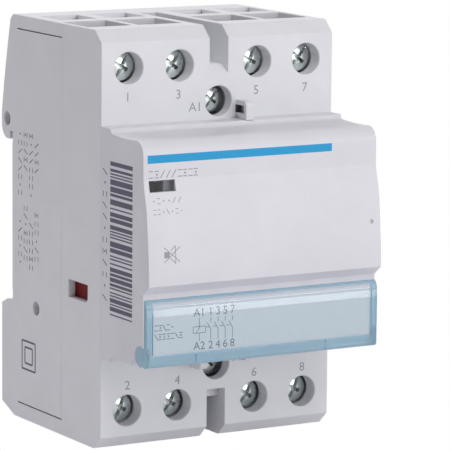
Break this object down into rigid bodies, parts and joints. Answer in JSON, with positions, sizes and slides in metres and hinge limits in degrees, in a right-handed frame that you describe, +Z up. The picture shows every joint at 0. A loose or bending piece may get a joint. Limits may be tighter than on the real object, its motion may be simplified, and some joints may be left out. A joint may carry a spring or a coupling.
{
  "type": "din rail contactor",
  "caption": "Modular contactor for a DIN rail, with clamp terminals, sprung rail latch, clear label flap, position flag and a coil-driven contact carrier.",
  "frame": {"origin": "middle of the flat rail seat, on the plane that touches the front of the 35 mm rail", "axes": "+X to the right, +Y back towards the rail, +Z up; the user faces the part from -Y"},
  "size_m": [0.0536, 0.0641, 0.0848],
  "materials": {
    "housing_plastic": "fine satin moulded polyamide",
    "cover_plastic": "fine satin moulded polyamide",
    "clear_blue_plastic": "clear, pale blue, polished",
    "clear_plastic": "clear, polished",
    "card": "printed card",
    "flag_plastic": "satin",
    "latch_plastic": "satin moulded",
    "spring_steel": "drawn wire",
    "zinc_screw": "zinc plated, pale green-grey sheen",
    "zinc_cage": "zinc plated strip",
    "copper_alloy": "tinned copper alloy strip",
    "silver": "silver alloy",
    "red_plastic": "satin glass-filled plastic",
    "core_steel": "stacked silicon steel sheets",
    "pad_rubber": "matt",
    "bobbin_plastic": "satin",
    "winding_copper": "enamelled copper wire",
    "board": "solder mask with parts"
  },
  "bodies": {
    "housing": {"rear_housing": "housing_plastic", "front_housing": "housing_plastic", "nose_cover": "cover_plastic", "label_card": "card", "window_lens": "clear_plastic", "latch_spring": "spring_steel", "fixed_contact_tips": "silver", "fixed_core": "core_steel", "core_pad": "pad_rubber", "coil_bobbin": "bobbin_plastic", "coil_winding": "winding_copper", "return_springs": "spring_steel", "rectifier_board": "board", "contact_bar_1": "copper_alloy", "contact_bar_2": "copper_alloy", "contact_bar_3": "copper_alloy", "contact_bar_4": "copper_alloy", "contact_bar_5": "copper_alloy", "contact_bar_6": "copper_alloy", "contact_bar_7": "copper_alloy", "contact_bar_8": "copper_alloy", "coil_bar_a1": "copper_alloy", "coil_bar_a2": "copper_alloy"},
    "flap": {"label_flap": "clear_blue_plastic"},
    "indicator": {"indicator_flag": "flag_plastic"},
    "latch": {"din_latch": "latch_plastic"},
    "carrier": {"contact_carrier": "red_plastic", "moving_core": "core_steel", "contact_spring_1": "spring_steel", "contact_spring_2": "spring_steel", "contact_spring_3": "spring_steel", "contact_spring_4": "spring_steel"},
    "bridge_1": {"bridge_1": "copper_alloy", "bridge_tips_1": "silver"},
    "bridge_2": {"bridge_2": "copper_alloy", "bridge_tips_2": "silver"},
    "bridge_3": {"bridge_3": "copper_alloy", "bridge_tips_3": "silver"},
    "bridge_4": {"bridge_4": "copper_alloy", "bridge_tips_4": "silver"},
    "terminal_screw_1": {"terminal_screw_1": "zinc_screw"},
    "terminal_cage_1": {"terminal_cage_1": "zinc_cage"},
    "terminal_screw_2": {"terminal_screw_2": "zinc_screw"},
    "terminal_cage_2": {"terminal_cage_2": "zinc_cage"},
    "terminal_screw_3": {"terminal_screw_3": "zinc_screw"},
    "terminal_cage_3": {"terminal_cage_3": "zinc_cage"},
    "terminal_screw_4": {"terminal_screw_4": "zinc_screw"},
    "terminal_cage_4": {"terminal_cage_4": "zinc_cage"},
    "terminal_screw_5": {"terminal_screw_5": "zinc_screw"},
    "terminal_cage_5": {"terminal_cage_5": "zinc_cage"},
    "terminal_screw_6": {"terminal_screw_6": "zinc_screw"},
    "terminal_cage_6": {"terminal_cage_6": "zinc_cage"},
    "terminal_screw_7": {"terminal_screw_7": "zinc_screw"},
    "terminal_cage_7": {"terminal_cage_7": "zinc_cage"},
    "terminal_screw_8": {"terminal_screw_8": "zinc_screw"},
    "terminal_cage_8": {"terminal_cage_8": "zinc_cage"},
    "coil_screw_a1": {"coil_screw_a1": "zinc_screw"},
    "coil_cage_a1": {"coil_cage_a1": "zinc_cage"},
    "coil_screw_a2": {"coil_screw_a2": "zinc_screw"},
    "coil_cage_a2": {"coil_cage_a2": "zinc_cage"}
  },
  "joints": [
    {"name": "latch_slide", "type": "slide", "parent": "housing", "child": "latch", "axis": [0, 0, -1], "range_m": [0, 0.0045], "stiffness_N_per_m": 700, "springref_m": -0.003, "deforming": ["latch_spring"]},
    {"name": "flap_hinge", "type": "hinge", "parent": "housing", "child": "flap", "pos_m": [0, -0.0557, -0.0203], "axis": [1, 0, 0], "range_deg": [0, 90]},
    {"name": "carrier_slide", "type": "slide", "parent": "housing", "child": "carrier", "axis": [0, 1, 0], "range_m": [0, 0.004], "stiffness_N_per_m": 400, "springref_m": -0.003, "deforming": ["return_springs"]},
    {"name": "flag_slide", "type": "slide", "parent": "housing", "child": "indicator", "axis": [-1, 0, 0], "range_m": [0, 0.00395]},
    {"name": "bridge_1_lift", "type": "slide", "parent": "carrier", "child": "bridge_1", "axis": [0, -1, 0], "range_m": [0, 0.00101], "deforming": ["contact_spring_1"]},
    {"name": "bridge_2_lift", "type": "slide", "parent": "carrier", "child": "bridge_2", "axis": [0, -1, 0], "range_m": [0, 0.00101], "deforming": ["contact_spring_2"]},
    {"name": "bridge_3_lift", "type": "slide", "parent": "carrier", "child": "bridge_3", "axis": [0, -1, 0], "range_m": [0, 0.00101], "deforming": ["contact_spring_3"]},
    {"name": "bridge_4_lift", "type": "slide", "parent": "carrier", "child": "bridge_4", "axis": [0, -1, 0], "range_m": [0, 0.00101], "deforming": ["contact_spring_4"]},
    {"name": "screw_1_turn", "type": "hinge", "parent": "housing", "child": "terminal_screw_1", "pos_m": [-0.0206, -0.03, 0.0347], "axis": [0, 1, 0], "range_deg": [0, 1985]},
    {"name": "screw_1_clamp", "type": "slide", "parent": "housing", "child": "terminal_cage_1", "axis": [0, -1, 0], "range_m": [0, 0.0044]},
    {"name": "screw_2_turn", "type": "hinge", "parent": "housing", "child": "terminal_screw_2", "pos_m": [-0.0206, -0.03, -0.0347], "axis": [0, 1, 0], "range_deg": [0, 1985]},
    {"name": "screw_2_clamp", "type": "slide", "parent": "housing", "child": "terminal_cage_2", "axis": [0, -1, 0], "range_m": [0, 0.0044]},
    {"name": "screw_3_turn", "type": "hinge", "parent": "housing", "child": "terminal_screw_3", "pos_m": [-0.00905, -0.03, 0.0347], "axis": [0, 1, 0], "range_deg": [0, 1985]},
    {"name": "screw_3_clamp", "type": "slide", "parent": "housing", "child": "terminal_cage_3", "axis": [0, -1, 0], "range_m": [0, 0.0044]},
    {"name": "screw_4_turn", "type": "hinge", "parent": "housing", "child": "terminal_screw_4", "pos_m": [-0.00905, -0.03, -0.0347], "axis": [0, 1, 0], "range_deg": [0, 1985]},
    {"name": "screw_4_clamp", "type": "slide", "parent": "housing", "child": "terminal_cage_4", "axis": [0, -1, 0], "range_m": [0, 0.0044]},
    {"name": "screw_5_turn", "type": "hinge", "parent": "housing", "child": "terminal_screw_5", "pos_m": [0.00905, -0.03, 0.0347], "axis": [0, 1, 0], "range_deg": [0, 1985]},
    {"name": "screw_5_clamp", "type": "slide", "parent": "housing", "child": "terminal_cage_5", "axis": [0, -1, 0], "range_m": [0, 0.0044]},
    {"name": "screw_6_turn", "type": "hinge", "parent": "housing", "child": "terminal_screw_6", "pos_m": [0.00905, -0.03, -0.0347], "axis": [0, 1, 0], "range_deg": [0, 1985]},
    {"name": "screw_6_clamp", "type": "slide", "parent": "housing", "child": "terminal_cage_6", "axis": [0, -1, 0], "range_m": [0, 0.0044]},
    {"name": "screw_7_turn", "type": "hinge", "parent": "housing", "child": "terminal_screw_7", "pos_m": [0.0206, -0.03, 0.0347], "axis": [0, 1, 0], "range_deg": [0, 1985]},
    {"name": "screw_7_clamp", "type": "slide", "parent": "housing", "child": "terminal_cage_7", "axis": [0, -1, 0], "range_m": [0, 0.0044]},
    {"name": "screw_8_turn", "type": "hinge", "parent": "housing", "child": "terminal_screw_8", "pos_m": [0.0206, -0.03, -0.0347], "axis": [0, 1, 0], "range_deg": [0, 1985]},
    {"name": "screw_8_clamp", "type": "slide", "parent": "housing", "child": "terminal_cage_8", "axis": [0, -1, 0], "range_m": [0, 0.0044]},
    {"name": "screw_a1_turn", "type": "hinge", "parent": "housing", "child": "coil_screw_a1", "pos_m": [0, -0.03, 0.0271], "axis": [0, 1, 0], "range_deg": [0, 2645]},
    {"name": "screw_a1_clamp", "type": "slide", "parent": "housing", "child": "coil_cage_a1", "axis": [0, -1, 0], "range_m": [0, 0.0044]},
    {"name": "screw_a2_turn", "type": "hinge", "parent": "housing", "child": "coil_screw_a2", "pos_m": [0, -0.03, -0.0271], "axis": [0, 1, 0], "range_deg": [0, 2645]},
    {"name": "screw_a2_clamp", "type": "slide", "parent": "housing", "child": "coil_cage_a2", "axis": [0, -1, 0], "range_m": [0, 0.0044]}
  ],
  "couplings": [
    {"joint": "flag_slide", "follows": "carrier_slide", "ratio": 0.975},
    {"joint": "bridge_1_lift", "follows": "carrier_slide", "ratio": 0.25},
    {"joint": "bridge_2_lift", "follows": "carrier_slide", "ratio": 0.25},
    {"joint": "bridge_3_lift", "follows": "carrier_slide", "ratio": 0.25},
    {"joint": "bridge_4_lift", "follows": "carrier_slide", "ratio": 0.25},
    {"joint": "screw_1_turn", "follows": "screw_1_clamp", "rad_per_m": 7854},
    {"joint": "screw_2_turn", "follows": "screw_2_clamp", "rad_per_m": 7854},
    {"joint": "screw_3_turn", "follows": "screw_3_clamp", "rad_per_m": 7854},
    {"joint": "screw_4_turn", "follows": "screw_4_clamp", "rad_per_m": 7854},
    {"joint": "screw_5_turn", "follows": "screw_5_clamp", "rad_per_m": 7854},
    {"joint": "screw_6_turn", "follows": "screw_6_clamp", "rad_per_m": 7854},
    {"joint": "screw_7_turn", "follows": "screw_7_clamp", "rad_per_m": 7854},
    {"joint": "screw_8_turn", "follows": "screw_8_clamp", "rad_per_m": 7854},
    {"joint": "screw_a1_turn", "follows": "screw_a1_clamp", "rad_per_m": 10472},
    {"joint": "screw_a2_turn", "follows": "screw_a2_clamp", "rad_per_m": 10472}
  ]
}
